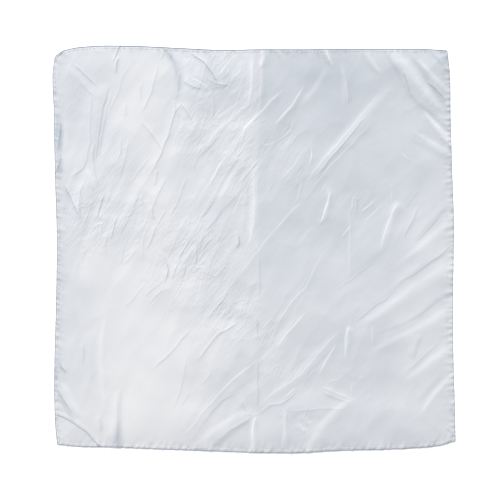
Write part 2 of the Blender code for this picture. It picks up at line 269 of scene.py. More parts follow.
brightLines = (
    # pressed lines
    ((261, 56), (261, 80), (258, 109), 0.3),
    ((252, 54), (251, 84), (248, 104), 0.4),
    ((253, 172), (254, 204), (252, 228), (246, 248), 0.4),
    ((341, 71), (346, 86), (347, 105), 0.8),
    ((348, 204), (349, 240), (348, 279), 0.5),
    ((349, 325), (345, 340), (346, 362), 0.7),
    ((352, 382), (352, 389), (352, 396), 0.4),
    # upper centre
    ((215, 76), (224, 68), (232, 58), 0.6),
    ((228, 83), (235, 76), (240, 69), 0.8),
    ((191, 78), (200, 82), (210, 91), 0.6),
    ((242, 100), (229, 109), (214, 120), 0.5),
    ((259, 114), (251, 121), (243, 129), 0.3),
    ((258, 114), (247, 126), (240, 139), 0.9),
    ((221, 162), (216, 172), (209, 185), 0.9),
    ((242, 193), (238, 202), (231, 214), 0.5),
    ((283, 89), (268, 104), (256, 119), 0.8),
    ((304, 84), (294, 102), (275, 124), 1.0),
    ((263, 145), (269, 144), (276, 142), 0.5),
    ((295, 128), (288, 141), (275, 152), 0.2),
    ((292, 118), (290, 130), (277, 141), 0.8),
    ((302, 150), (292, 167), (278, 181), 0.5),
    ((310, 143), (311, 152), (310, 164), 1.0),
    # upper right
    ((386, 84), (356, 121), (333, 148), (313, 172), (299, 198), 0.5),
    ((371, 122), (353, 142), (338, 158), (322, 175), (303, 201), 0.6),
    ((325, 49), (328, 56), (332, 65), 1.2),
    ((402, 152), (405, 156), (410, 160), 0.4),
    # middle centre
    ((274, 228), (262, 245), (258, 251), (248, 262), (239, 279), 0.5),
    ((245, 219), (253, 237), (259, 253), 0.3),
    ((301, 202), (288, 215), (274, 232), 0.6),
    ((300, 182), (299, 191), (296, 201), 0.6),
    ((319, 180), (305, 192), (301, 203), 0.25),
    ((323, 250), (307, 284), (297, 295), (282, 316), (264, 353), 0.6),
    ((330, 191), (326, 207), (319, 225), 1.3),
    ((325, 185), (324, 188), (322, 192), 0.5),
    ((320, 216), (319, 219), (317, 223), 0.5),
    # middle right
    ((354, 195), (352, 202), (352, 210), 0.5),
    ((350, 226), (346, 231), (341, 238), 0.9),
    ((373, 201), (368, 206), (362, 211), 1.1),
    ((382, 205), (374, 212), (364, 222), 0.7),
    ((397, 203), (388, 223), (380, 251), 0.7),
    ((388, 185), (391, 193), (392, 202), 0.5),
    ((371, 326), (372, 336), (372, 346), 0.5),
    # lower centre
    ((342, 328), (326, 344), (310, 363), (293, 380), (272, 393), (258, 408), 0.5),
    ((338, 342), (327, 358), (318, 377), 0.7),
    ((258, 359), (242, 372), (228, 384), (205, 409), (182, 437), 0.7),
    ((295, 388), (290, 392), (284, 397), 0.9),
    ((244, 414), (251, 413), (260, 413), 0.3),
    ((306, 311), (291, 328), (274, 351), 0.8),
    ((279, 341), (270, 350), (260, 361), 0.4),
    ((270, 318), (266, 323), (262, 329), 0.5),
    ((281, 314), (276, 322), (270, 332), 0.6),
    ((257, 415), (252, 430), (254, 448), 0.7),
    ((286, 408), (284, 427), (282, 448), 0.35),
    # lower right
    ((322, 386), (336, 392), (352, 398), 0.6),
    ((327, 383), (332, 380), (338, 379), 0.5),
    ((362, 375), (360, 377), (358, 380), 0.4),
    ((369, 394), (368, 396), (366, 399), 0.4),
)
# Soft bands, each the lit or the shaded flank of a fold: points along its middle, then its width in pixels
# and how steep it is, above 0 where it takes the light and below 0 where it is in shade
bands = (
    # upper left
    ((65, 65), (78, 75), (92, 87), 5, 0.8),
    ((107, 85), (101, 115), (94, 165), 10, -1.0),
    ((112, 92), (106, 125), (100, 180), 5, 0.3),
    ((57, 116), (60, 134), (60, 154), 7, -2.8),
    ((57, 156), (60, 165), (60, 175), 7, -2.8),
    ((63, 122), (66, 136), (64, 152), 4, 0.9),
    ((164, 46), (176, 68), (178, 93), 7, -2.0),
    ((184, 58), (186, 70), (188, 84), 5, 1.2),
    ((185, 80), (200, 89), (226, 87), 5, -0.8),
    ((216, 80), (224, 77), (231, 71), 5, -0.6),
    ((189, 101), (182, 121), (171, 146), 6, 0.8),
    ((84, 182), (80, 212), (78, 238), 4, -0.6),
    ((87, 168), (92, 178), (95, 190), 4, 1.1),
    ((139, 195), (130, 212), (121, 231), 5, -0.6),
    # from the centre to the left
    ((237, 110), (213, 136), (192, 156), 5, 1.3),
    ((257, 112), (231, 147), (212, 177), (194, 211), 5, 1.0),
    ((251, 147), (233, 174), (217, 202), 5, 1.1),
    ((254, 172), (238, 194), (216, 218), 7, -0.6),
    ((250, 48), (251, 82), (247, 108), 4, 1.5),
    ((262, 52), (261, 84), (259, 112), 4, 1.2),
    ((245, 60), (244, 80), (238, 104), 5, -0.6),
    ((253, 164), (253, 206), (249, 248), 6, 1.5),
    ((247, 184), (247, 206), (243, 236), 3, -0.7),
    # upper right
    ((325, 67), (317, 85), (296, 109), 6, 1.4),
    ((302, 88), (290, 107), (274, 127), 3, 1.3),
    ((279, 92), (266, 106), (256, 118), 3, 1.4),
    ((392, 84), (372, 106), (352, 128), (327, 156), (300, 197), 9, 1.4),
    ((379, 116), (362, 136), (344, 152), 7, -0.6),
    ((341, 62), (344, 84), (344, 106), 4, 1.6),
    ((309, 45), (310, 53), (311, 62), 4, 1.6),
    ((324, 45), (328, 55), (332, 67), 5, 3.0),
    ((263, 44), (262, 58), (259, 70), 7, 2.2),
    ((365, 47), (372, 61), (382, 75), 6, 2.0),
    ((381, 44), (390, 60), (403, 80), 7, -1.3),
    ((394, 50), (409, 70), (426, 92), (443, 112), 14, 1.7),
    ((398, 76), (412, 97), (432, 115), (453, 132), 6, -1.2),
    ((409, 54), (428, 80), (444, 105), 6, -1.3),
    ((419, 60), (432, 75), (449, 91), 5, 2.0),
    ((431, 53), (440, 63), (448, 73), 5, -1.5),
    ((423, 109), (437, 127), (455, 145), 7, 2.8),
    ((412, 130), (434, 144), (456, 156), 7, 1.6),
    ((409, 139), (431, 150), (456, 162), 5, -0.9),
    ((305, 157), (292, 167), (277, 179), 5, 0.3),
    # middle right
    ((298, 204), (275, 230), (262, 246), 3, 0.9),
    ((312, 226), (306, 234), (298, 245), 5, 0.9),
    ((327, 186), (327, 204), (322, 224), 4, 1.6),
    ((398, 200), (390, 218), (381, 250), 6, 1.3),
    ((403, 203), (396, 221), (388, 247), 4, -0.3),
    ((448, 207), (432, 222), (412, 244), 5, -1.5),
    ((458, 214), (430, 238), (396, 265), 9, 1.1),
    ((400, 236), (370, 261), (330, 291), 9, -0.6),
    ((456, 246), (415, 272), (386, 295), (350, 322), 4, -1.1),
    ((458, 259), (417, 285), (388, 306), (354, 328), 17, 1.5),
    ((454, 289), (429, 307), (407, 322), (371, 336), 5, -1.0),
    ((457, 303), (426, 323), (399, 337), (371, 351), 10, 1.2),
    # lower right
    ((421, 334), (417, 346), (413, 360), 4, -1.2),
    ((457, 339), (428, 363), (404, 381), 11, 1.3),
    ((430, 349), (420, 362), (411, 375), 5, -0.5),
    ((456, 372), (434, 394), (421, 415), 6, 1.8),
    ((443, 374), (428, 390), (418, 404), 5, -0.8),
    ((348, 326), (347, 336), (346, 352), 3, 2.2),
    ((336, 340), (328, 357), (318, 373), 4, 0.9),
    ((341, 327), (320, 349), (295, 375), (257, 408), 7, 0.9),
    ((345, 332), (325, 356), (302, 377), 3, -0.8),
    ((303, 312), (288, 329), (274, 348), 7, 0.9),
    ((320, 262), (291, 300), (270, 334), 3, 0.7),
    ((324, 387), (337, 391), (352, 398), 5, 0.5),
    ((322, 395), (336, 398), (350, 402), 4, -0.4),
    ((356, 397), (330, 416), (304, 457), 11, 1.4),
    ((256, 412), (252, 430), (255, 456), 6, 2.2),
    ((298, 422), (302, 427), (307, 432), 3, 1.2),
    ((303, 414), (306, 419), (312, 424), 3, 0.8),
    ((284, 408), (284, 428), (286, 456), 5, 1.4),
    # lower left
    ((239, 316), (212, 330), (191, 354), 9, 0.6),
    ((106, 312), (101, 340), (101, 372), (105, 410), 4, 1.1),
    ((94, 330), (92, 356), (94, 385), 5, -0.6),
    ((121, 388), (119, 418), (118, 456), 9, -1.9),
    ((53, 368), (60, 395), (77, 425), 7, -2.2),
    ((64, 382), (72, 400), (82, 418), 6, 1.2),
    ((52, 413), (78, 424), (103, 450), 4, -3.4),
    ((253, 364), (226, 385), (201, 410), (181, 442), 3, 0.7),
    ((260, 372), (233, 392), (208, 417), (189, 446), 3, -0.8),
    ((241, 390), (221, 400), (202, 420), 6, -0.5),
    ((258, 411), (232, 418), (195, 446), 8, 1.3),
    ((256, 420), (234, 430), (212, 450), 7, -1.5),
)

crease = {
    "bandSlope": 0.058,  # rise over run of a band of steepness 1
    "bandWidth": 1.2,  # its flank, in the table's widths
    "bandReach": 2.6,  # band widths over which its run-outs die away
    "bandMargin": 2,  # pixels that this takes at the least
    "wobble": 0.0012,  # metres by which creases waver
    "wobbleScale": 55,  # to a metre
    "edgeReach": 2.4,  # pixels over which its keen edge, for the shader, dies away
    "edgeHeight": 0.00019,  # metres at strength 1
    "edgeSlope": 0.8,  # half its width in pixels
    "core": 1.4,  # and half that of the painted shade or highlight line along it
    "steep": 2.2,  # pixels from a line's crest to the foot of its steep side
    "gentle": 8.5,  # and of its gentle side
    "keen": 2.2,  # the higher, the keener the crest
    "height": 0.00027,  # metres at strength 1
    "leastFacing": 0.45,  # lines that run towards the light are raised by up to 1 over this
    "narrowing": 0.6,  # share of its width that a crease loses from one end to the other
    "fadedWidth": 0.4,  # share that it keeps where it has faded
}


def crestLine(points):
    # a smooth line through a crease's points: a parabola, or a curve where there are more
    points = place(points)
    if len(points) == 3:
        t = np.linspace(0, 1, 15)[:, None]
        return (1 - t) * (1 - 2 * t) * points[0] + 4 * t * (1 - t) * points[1] + t * (2 * t - 1) * points[2]
    stations = np.arange(len(points), dtype=float)
    at = np.linspace(0, len(points) - 1, 8 * len(points))
    return np.stack([smoothThrough(stations, points[:, k], at) for k in range(2)], axis=1)


noise = {
    "cells": 64,
    "seedStep": 7.31,  # how far apart two seeds read the same noise
}
noiseAngles = 2 * math.pi * np.random.default_rng(7).random((noise["cells"], noise["cells"]))


def softNoise(points, scaleX, scaleY, seed):
    # smooth noise from -1 to 1
    cells = noise["cells"]
    at = points * (scaleX, scaleY) + noise["seedStep"] * seed
    cell = np.floor(at).astype(int)
    x, y = (at - cell).T
    slopes = []
    for dx, dy in ((0, 0), (1, 0), (0, 1), (1, 1)):
        angle = noiseAngles[(cell[:, 0] + dx) % cells, (cell[:, 1] + dy) % cells]
        slopes.append((x - dx) * np.cos(angle) + (y - dy) * np.sin(angle))
    easeX, easeY = x**3 * (x * (6 * x - 15) + 10), y**3 * (y * (6 * y - 15) + 10)
    low = slopes[0] + easeX * (slopes[1] - slopes[0])
    high = slopes[2] + easeX * (slopes[3] - slopes[2])
    return 1.5 * (low + easeY * (high - low))


def wobbled(points):
    # moved a little to and fro, so that smooth creases waver
    scale = crease["wobbleScale"]
    wobble = np.stack([softNoise(points, scale, scale, seed) for seed in (21, 22)], axis=1)
    return points + crease["wobble"] * wobble


def cross(a, b):
    return a[0] * b[..., 1] - a[1] * b[..., 0]


def nearCrease(points, crest, reach):
    # the points within reach of a crease: their numbers, their distance from it, above 0 on its lit side,
    # and how far it has faded and narrowed there. It doesn't fade where it runs out over the cloth's edge
    line = crestLine(crest)
    litSide = math.copysign(1, cross(line[-1] - line[0], np.array(cloth["litFrom"])))
    near = np.flatnonzero(((points > line.min(0) - reach) & (points < line.max(0) + reach)).all(1))
    best, side, where = np.full(len(near), np.inf), np.ones(len(near)), np.zeros(len(near))
    for i, (a, b) in enumerate(zip(line[:-1], line[1:])):
        d = b - a
        offset = points[near] - a
        t = np.clip((offset @ d) / (d @ d), 0, 1)
        offset = offset - t[:, None] * d
        away = np.linalg.norm(offset, axis=1)
        closer = away < best
        best[closer] = away[closer]
        side[closer] = litSide * cross(d, offset[closer])
        where[closer] = (i + t[closer]) / (len(line) - 1)
    inside = np.clip(depthInside(line[[0, -1]]) / cloth["edgeRun"], 0, 1)
    start = 1 - inside[0] * (1 - np.clip(where / cloth["runOut"], 0, 1))
    end = 1 - inside[1] * (1 - np.clip((1 - where) / cloth["runOut"], 0, 1))
    fade = np.minimum(start, end)
    taper = 1 - crease["narrowing"] * (where * (1 - inside[0]) + (1 - where) * (1 - inside[1]))
    return near, np.where(side > 0, best, -best), fade * (2 - fade), taper


def narrowed(fade, taper):
    return (crease["fadedWidth"] + (1 - crease["fadedWidth"]) * fade) * taper


def towardsLight(crest):
    # a crease that runs towards the light would hardly show, and is raised
    run = np.array(crest[-1], float) - crest[0]
    facing = abs(run[0] * cloth["litFrom"][1] + run[1] * cloth["litFrom"][0]) / np.linalg.norm(run)
    return 1 / max(facing, crease["leastFacing"])


def lineLift(points, crest, strength, litWidth, shadeWidth):
    # a ridge with a keen crest, and skirts of their own width on its lit and its shaded side
    height = crease["height"] * strength * towardsLight(crest)
    litWidth, shadeWidth = litWidth * photo["pixel"], shadeWidth * photo["pixel"]
    near, away, fade, taper = nearCrease(points, crest, max(litWidth, shadeWidth))
    width = np.where(away > 0, litWidth, shadeWidth) * narrowed(fade, taper)
    s = np.clip(np.abs(away) / width, 0, 1)
    lift = np.zeros(len(points))
    lift[near] = height * fade * taper * (1 - s) ** crease["keen"]
    return lift


def bandLift(points, middle, width, slope):
    # the even flank of a low fold, and gentle run-outs beside it
    reach = (crease["bandReach"] * width + crease["bandMargin"]) * photo["pixel"]
    near, away, fade, taper = nearCrease(points, middle, reach)
    taper = narrowed(fade, taper)
    halfWidth = 0.5 * crease["bandWidth"] * width * photo["pixel"] * taper
    s = np.clip(away / halfWidth, -1, 1)
    runOut = np.clip(1 - np.abs(away) / (reach * taper), 0, 1) ** 2
    lift = np.zeros(len(points))
    flank = abs(slope) - slope * s * (1.5 - 0.5 * s * s)
    lift[near] = towardsLight(middle) * halfWidth / 1.5 * fade * flank * runOut
    return lift


def paintedBandShading(points, middle, width, gain):
    # painted sheen and shade: lighter or darker across a fold's flank
    reach = width * photo["pixel"]
    near, away, fade, taper = nearCrease(points, middle, reach)
    s = np.clip(np.abs(away) / (reach * taper), 0, 1)
    shade = np.zeros(len(points))
    shade[near] = gain * fade * (1 - s * s) ** 2
    return shade


def creaseEdges(points, rows):
    # how many pixels each point is from the nearest of these creases, and how strong that one is:
    # above 0 for a dark one, and below 0 for a bright one
    reach = crease["edgeReach"]
    best, side, size = np.full(len(points), reach), np.full(len(points), reach), np.zeros(len(points))
    bent = wobbled(points)
    for crest, strength in rows:
        near, away, fade, _ = nearCrease(bent, crest, reach * photo["pixel"])
        away = away / photo["pixel"]
        closer = np.abs(away) < best[near]
        chosen = near[closer]
        best[chosen] = np.abs(away[closer])
        side[chosen] = away[closer]
        size[chosen] = strength * towardsLight(crest) * fade[closer] * (1 - (away[closer] / reach) ** 2) ** 2
    return side, size


# neighbours in the tables go to separate kinds, so that each keeps its own keen edge
creaseKinds = {}
for first in range(3):
    creaseKinds["dark" + str(first)] = [(line[:-1], line[-1]) for line in darkLines[first::3]]
    creaseKinds["bright" + str(first)] = [(line[:-1], -line[-1]) for line in brightLines[first::3]]

crumple = {
    "lean": (1.7, -1.33),  # how steeply the small creases lean, and how that changes towards the right
    "along": (0.55, 0.83),  # plan direction in which they run
    "warp": 0.012,  # how far they stray in metres
    "fineWarp": 0.004,
    "warpScales": (18, 60),  # strays to a metre
    "spread": 0.08,  # strength away from the crumpled places
    "least": 0.25,  # share of the unevenness that a smooth place keeps
    "clouds": 0.0016,  # heights in metres, from the widest to the finest
    "folds": 0.0011,
    "creases": 0.00036,
    "lines": 0.00018,
    # scales to a metre: along and across the lean, and for those that run any way
    "cloudScales": ((5, 11), (7, 9)),
    "foldScales": ((9, 14), (17, 19)),
    "creaseScales": ((22, 37), (38, 36)),
    "lineScales": ((17, 33), (34, 30)),
    # smooth places in photo pixels: middle, half width, half height and strength
    "calm": ((145, 365, 48, 75, 1.0), (138, 112, 26, 48, 0.7)),
    # crumpled places in photo pixels: middle, half width, half height and strength
    "places": (
        (195, 262, 40, 52, 1.0), (225, 310, 32, 38, 0.9), (120, 165, 45, 75, 0.35), (242, 150, 34, 70, 0.7),
        (165, 290, 40, 40, 0.6), (215, 80, 38, 30, 0.9), (205, 125, 40, 40, 0.7), (262, 335, 16, 26, 0.6),
        (312, 380, 16, 12, 0.5), (285, 370, 26, 16, 0.5), (285, 140, 18, 20, 0.5), (430, 90, 40, 50, 0.3),
        (90, 218, 40, 40, 0.8), (75, 90, 30, 50, 0.3), (130, 225, 40, 40, 0.6), (300, 170, 30, 30, 0.4),
        (300, 420, 30, 16, 0.5), (360, 200, 30, 20, 0.4),
    ),
}


def spot(points, x, y, width, length):
    # 1 at a place of the photo and 0 well away from it
    away = (points - place((x, y))) / photo["pixel"] / np.array((width, length))
    return np.exp(-(away**2).sum(1))


def calmness(points):
    # 1 over most of the cloth, down to 0 in the middle of a smooth place
    level = np.ones(len(points))
    for *where, peak in crumple["calm"]:
        level *= 1 - peak * spot(points, *where)
    return level


def crumpleStrength(points):
    # from 0 to 1: how crumpled the cloth is
    strength = np.full(len(points), crumple["spread"])
    for *where, peak in crumple["places"]:
        strength = np.maximum(strength, peak * spot(points, *where))
    return strength * calmness(points)


def creaseNet(values, keen):
    # narrow ridges, with level cloth between them
    return np.clip(1 - keen * np.abs(values), 0, 1) ** 2


def crumpleLift(points):
    # uneven small creases that lean from upper right to lower left, over broad swells
    x, y = points[:, 0], points[:, 1]
    slant = y - crumple["lean"][0] * x - crumple["lean"][1] * x * x
    along = crumple["along"][0] * x + crumple["along"][1] * y
    strength = crumpleStrength(points)
    wide, fine = crumple["warpScales"]
    warp = crumple["warp"] * softNoise(points, wide, wide, 3)
    warp += crumple["fineWarp"] * softNoise(points, fine, fine, 4)
    leaning = np.stack([along, slant + warp], axis=1)
    bent = points + 0.5 * warp[:, None]
    lean, free = crumple["foldScales"]
    folds = -np.abs(softNoise(leaning, *lean, 7)) - 0.6 * np.abs(softNoise(bent, *free, 5))
    lean, free = crumple["creaseScales"]
    creases = -np.abs(softNoise(leaning, *lean, 6)) - 0.7 * np.abs(softNoise(bent, *free, 8))
    lean, free = crumple["lineScales"]
    lines = creaseNet(softNoise(leaning, *lean, 9), 4) + 0.8 * creaseNet(softNoise(bent, *free, 13), 5)
    lean, free = crumple["cloudScales"]
    clouds = softNoise(points, *free, 1) + 0.5 * softNoise(leaning, *lean, 2)
    return (crumple["least"] + (1 - crumple["least"]) * calmness(points)) * (
        crumple["folds"] * (0.5 + strength) * folds
        + crumple["creases"] * (0.1 + strength) * creases
        + crumple["lines"] * (0.15 + strength) * lines
        + crumple["clouds"] * clouds
    )


gathers = {
    "height": 0.0007,
    "reach": 0.011,  # how far in from the edge they die away
    "scales": (150, 38),  # puckers to a metre along the edge, and inwards
    "fine": (270, 80),  # the same for the finer ones between them
    "fineShare": 0.5,
    "floor": 0.4,  # so that few stretches of the edge are without any
    "slant": 0.4,  # how far they lean to one side, at most
    "dark": 0.22,  # painted shade: how much darker the puckers are made
    "darkScale": 150,  # patches of that painted shade to a metre
}


def gatherLift(points):
    # small uneven puckers that the hem stitching draws up
    x, y = points[:, 0], points[:, 1]
    depths = np.clip(depthsInside(points), 0, None)
    lift = np.zeros(len(points))
    for side, along in enumerate((y, y, x, x)):
        depth = depths[side]
        slanted = np.stack([along + gathers["slant"] * depth * math.sin(2 + side), depth], axis=1)
        fine = softNoise(slanted, *gathers["fine"], 51 + side)
        waves = softNoise(slanted, *gathers["scales"], 41 + side) + gathers["fineShare"] * fine
        lift += np.exp(-((depth / gathers["reach"]) ** 2)) * np.clip(gathers["floor"] + waves, 0, None)
    return gathers["height"] * lift


def clothLift(points):
    # height of the cloth's underside over where it rests: it lies flatter towards its edges
    lift = crumpleLift(points)
    depth = depthInside(points)
    inwards = np.clip(depth / cloth["edgeRise"], 0, 1)
    lift = (lift + cloth["middleRise"]) * inwards * (2 - inwards)
    bent = wobbled(points)
    steep, gentle = crease["steep"], crease["gentle"]
    for *crest, strength in darkLines:
        lift += lineLift(bent, crest, strength, gentle, steep)
    for *crest, strength in brightLines:
        lift += lineLift(bent, crest, strength, steep, gentle)
    atEdge = cloth["bandAtEdge"]
    lowered = atEdge + (1 - atEdge) * np.clip(depth / cloth["bandRise"], 0, 1)
    for *middle, width, steepness in bands:
        lift += lowered * bandLift(bent, middle, width, crease["bandSlope"] * steepness)
    lift += gatherLift(points)
    # the lowest places lie on the table
    return 0.5 * (lift + np.sqrt(lift * lift + cloth["settle"] ** 2))


tone = {
    "pressLine": 258,  # where the middle pressed line runs, in photo pixels from the left
    "pressed": 0.17,  # painted shade: how much darker the pressed right half is, at the top
    "evened": 0.6,  # share of that difference which is gone at the bottom
    "sharp": 3,  # pixels over which it changes at the top
    "blurred": 60,  # and how many more at the bottom
    "blurFrom": (250, 150),  # the pixel row where it starts to blur, and over how many rows
    "down": (60, 330),  # the pixel row where the top ends, and how many rows lie below it
    "near": 0.055,  # painted light: how much lighter the near side is
    "patches": 0.05,  # painted sheen, mottled at random
    "patchScales": ((16, 22), (34, 40)),  # patches to a metre, the broad and the small ones
    "bands": 0.045,  # painted sheen or shade on a band of steepness 1
    "lines": 0.08,  # painted shade or highlight along a line of strength 1
    # painted light and shade at places in photo pixels: middle, half width, half height and gain
    "places": (
        (148, 365, 52, 95, 0.075), (75, 90, 34, 40, -0.09), (330, 95, 50, 50, -0.03),
        (340, 180, 45, 50, -0.02), (395, 142, 40, 22, 0.03), (314, 440, 9, 12, 0.07),
        (330, 100, 34, 20, -0.03), (385, 112, 30, 22, -0.03), (150, 100, 40, 25, -0.02),
        (425, 380, 40, 60, 0.02), (425, 270, 40, 50, 0.05), (70, 330, 14, 100, -0.07),
        (77, 320, 7, 10, -0.06), (84, 352, 6, 10, -0.05), (148, 400, 45, 45, 0.03),
        (112, 425, 75, 40, 0.09), (125, 255, 60, 30, 0.04), (58, 330, 7, 110, -0.07),
        (60, 260, 5, 9, -0.07), (63, 279, 6, 5, -0.06), (86, 300, 5, 7, -0.04), (60, 366, 4, 8, -0.08),
        (86, 240, 8, 8, 0.05), (100, 257, 9, 8, 0.03), (118, 438, 4, 16, -0.24), (142, 92, 3, 7, -0.06),
        (126, 110, 3, 6, -0.05), (59, 133, 4, 15, -0.16), (59, 167, 4, 8, -0.16), (171, 57, 5, 9, -0.10),
        (178, 80, 4, 13, -0.10), (211, 74, 6, 11, -0.09), (222, 87, 11, 3, -0.10), (74, 191, 4, 9, 0.04),
        (101, 424, 3, 8, -0.08), (66, 190, 4, 8, -0.1), (165, 330, 60, 60, 0.03),
        (330, 75, 55, 32, -0.045), (325, 240, 60, 28, -0.045), (432, 362, 25, 30, 0.06),
        (410, 337, 10, 9, 0.06), (350, 420, 60, 30, -0.03), (215, 78, 32, 24, -0.10),
        (300, 70, 60, 35, -0.03), (440, 250, 30, 50, 0.03), (436, 190, 22, 85, 0.05),
        (385, 350, 35, 70, -0.03), (140, 125, 30, 75, 0.09), (240, 260, 45, 40, -0.03),
        (75, 225, 25, 30, -0.05), (395, 330, 60, 25, 0.02), (230, 395, 25, 25, -0.03),
        (235, 205, 25, 45, -0.02), (120, 75, 40, 20, 0.02),
    ),
}


def paintedClothShading(points):
    # painted light and shade: how light or dark the satin looks
    px = points[:, 0] / photo["pixel"] + photo["middle"][0]
    py = photo["middle"][1] - points[:, 1] / photo["pixel"]
    blurStart, blurRows = tone["blurFrom"]
    downStart, downRows = tone["down"]
    # painted shade on the pressed right half, fading down the cloth, and painted light towards the near side
    blur = tone["sharp"] + tone["blurred"] * np.clip((py - blurStart) / blurRows, 0, 1)
    step = 1 / (1 + np.exp(-np.clip((px - tone["pressLine"]) / blur * 2, -40, 40)))
    down = np.clip((py - downStart) / downRows, 0, 1)
    shade = 1 - tone["pressed"] * step * (1 - tone["evened"] * down) + tone["near"] * down
    # painted light and shade at the listed places
    for *where, gain in tone["places"]:
        shade += gain * spot(points, *where)
    # painted sheen or shade across each band
    for *middle, width, steepness in bands:
        shade += paintedBandShading(points, middle, width, tone["bands"] * steepness)
    # painted shade in the puckers along the edges
    scale = gathers["darkScale"]
    edge = np.exp(-((np.clip(depthInside(points), 0, None) / gathers["reach"]) ** 2))
    shade -= gathers["dark"] * edge * np.clip(softNoise(points, scale, scale, 33) + 0.1, 0, 1)
    # painted sheen, mottled at random
    broad, small = tone["patchScales"]
    patches = softNoise(points, *broad, 31) + 0.6 * softNoise(points, *small, 32)
    return shade + tone["patches"] * patches


def newMaterial(name, look):
    # a material whose shader has this look, and its node tree
    material = bpy.data.materials.new(name)
    material.use_nodes = True
    shader = material.node_tree.nodes["Principled BSDF"]
    for socket, value in look.items():
        shader.inputs[socket].default_value = value
    return material, material.node_tree, shader


def addNode(tree, kind, inputs, **settings):
    # a shader node whose inputs are given values, or are linked to other nodes' outputs
    node = tree.nodes.new("ShaderNode" + kind)
    for name, value in settings.items():
        setattr(node, name, value)
    for name, value in inputs.items():
        if isinstance(value, bpy.types.NodeSocket):
            tree.links.new(value, node.inputs[name])
        else:
            node.inputs[name].default_value = value
    return node


def pointValue(tree, name):
    return addNode(tree, "Attribute", {}, attribute_name=name).outputs["Fac"]


satinLook = {
    "Roughness": 0.78,
    "Specular IOR Level": 0.34,
    "Anisotropic": 0.4,
    "Sheen Weight": 0.06,
    "Sheen Roughness": 0.4,
}
# crinkles too fine for the mesh: turn, length and width in metres, how wide the creases are, and their height
crinkles = (
    (1.15, (0.110, 0.0220, 1), 0.035, 0.00018),
    (1.02, (0.048, 0.0115, 1), 0.06, 0.00020),
    (1.40, (0.030, 0.0130, 1), 0.05, 0.00013),
)
weave = {
    "threads": {"Scale": 900, "Distortion": 1.5, "Detail": 1},
    "relief": {"Strength": 0.25, "Distance": 0.00003},
}


def smoothStep(tree, value, start, end, low, high):
    # from low at start to high at end, and level beyond
    inputs = {"Value": value, "From Min": start, "From Max": end, "To Min": low, "To Max": high}
    return addNode(tree, "MapRange", inputs, interpolation_type="SMOOTHSTEP").outputs["Result"]


def compute(tree, operation, *values):
    return addNode(tree, "Math", dict(enumerate(values)), operation=operation).outputs["Value"]


def addBump(tree, before, look):
    # one more bump, over those before it
    bump = addNode(tree, "Bump", {**look, **before})
    return {"Normal": bump.outputs["Normal"]}


def addCreases(tree, shade):
    # the keen edge of each kind of crease as bump, and a painted shade or highlight line along it
    bumps = {}
    half = crease["edgeSlope"]
    for kind in creaseKinds:
        side, size = pointValue(tree, kind + "Side"), pointValue(tree, kind + "Size")
        edge = compute(tree, "MULTIPLY", smoothStep(tree, side, -half, half, 0, 1), size)
        bumps = addBump(tree, bumps, {"Distance": crease["edgeHeight"], "Height": edge})
        away = compute(tree, "ABSOLUTE", side)
        # painted shade along a dark crease, painted highlight along a bright one
        line = smoothStep(tree, away, 0, crease["core"], -tone["lines"], 0)
        shade = compute(tree, "MULTIPLY_ADD", line, size, shade)
    return shade, bumps


def addCrinkles(tree, where, bumps):
    # nets of fine crinkles, as strong as the cloth is crumpled
    crumpled = pointValue(tree, "crumpled")
    for turn, scale, keen, depth in crinkles:
        leaning = addNode(tree, "Mapping", {"Rotation": (0, 0, turn), "Scale": scale, "Vector": where},
                          vector_type="TEXTURE").outputs["Vector"]
        waves = addNode(tree, "TexNoise", {"Scale": 1, "Detail": 1, "Distortion": 0.7, "Vector": leaning})
        away = compute(tree, "ABSOLUTE", compute(tree, "SUBTRACT", waves.outputs["Fac"], 0.5))
        net = smoothStep(tree, away, 0, keen, 1, 0)
        bumps = addBump(tree, bumps, {"Distance": depth, "Strength": crumpled, "Height": net})
    return bumps


def makeSatin(name, pale, deep):
    # satin whose tint follows the painted light and shade, with its creases' edges, its crinkles and its
    # weave
    material, tree, shader = newMaterial(name, satinLook)
    where = addNode(tree, "TexCoord", {}).outputs["Object"]
    shade, bumps = addCreases(tree, pointValue(tree, "paintedShading"))
    tint = addNode(tree, "Mix", {"Factor": shade, "A": (*deep, 1), "B": (*pale, 1)},
                   data_type="RGBA", clamp_factor=False)
    tree.links.new(tint.outputs["Result"], shader.inputs["Base Color"])
    bumps = addCrinkles(tree, where, bumps)
    waves = addNode(tree, "TexWave", {"Vector": where, **weave["threads"]},
                    wave_type="BANDS", bands_direction="DIAGONAL")
    bumps = addBump(tree, bumps, {"Height": waves.outputs["Fac"], **weave["relief"]})
    tree.links.new(bumps["Normal"], shader.inputs["Normal"])
    return material


thread = {
    "roughness": 0.55,
    "twists": 1500,  # light and dark places to a metre
    "deep": (0.50, 0.53, 0.59),
    "pale": (0.62, 0.65, 0.70),
}


def makeThread():
    # thread that its twist makes a little uneven in colour
    material, tree, shader = newMaterial("hemThread", {"Roughness": thread["roughness"]})
    where = addNode(tree, "TexCoord", {}).outputs["Object"]
    twist = addNode(tree, "TexNoise", {"Scale": thread["twists"], "Vector": where}).outputs["Fac"]
    tint = addNode(tree, "Mix", {"Factor": twist, "A": (*thread["deep"], 1), "B": (*thread["pale"], 1)},
                   data_type="RGBA")
    tree.links.new(tint.outputs["Result"], shader.inputs["Base Color"])
    return material


def addObject(name, data):
    thing = bpy.data.objects.new(name, data)
    bpy.context.scene.collection.objects.link(thing)
    return thing


def newPiece(name, bm, material):
    mesh = bpy.data.meshes.new(name)
    bm.to_mesh(mesh)
    bm.free()
    mesh.materials.append(material)
    mesh.shade_smooth()
    return addObject(name, mesh)


def coordinates(bm):
    return np.array([v.co[:] for v in bm.verts])


def setPointValues(piece, name, values):
    piece.data.attributes.new(name, "FLOAT", "POINT").data.foreach_set("value", values)


def setCreases(piece, points):
    for kind, rows in creaseKinds.items():
        side, size = creaseEdges(points, rows)
        setPointValues(piece, kind + "Side", side)
        setPointValues(piece, kind + "Size", size)


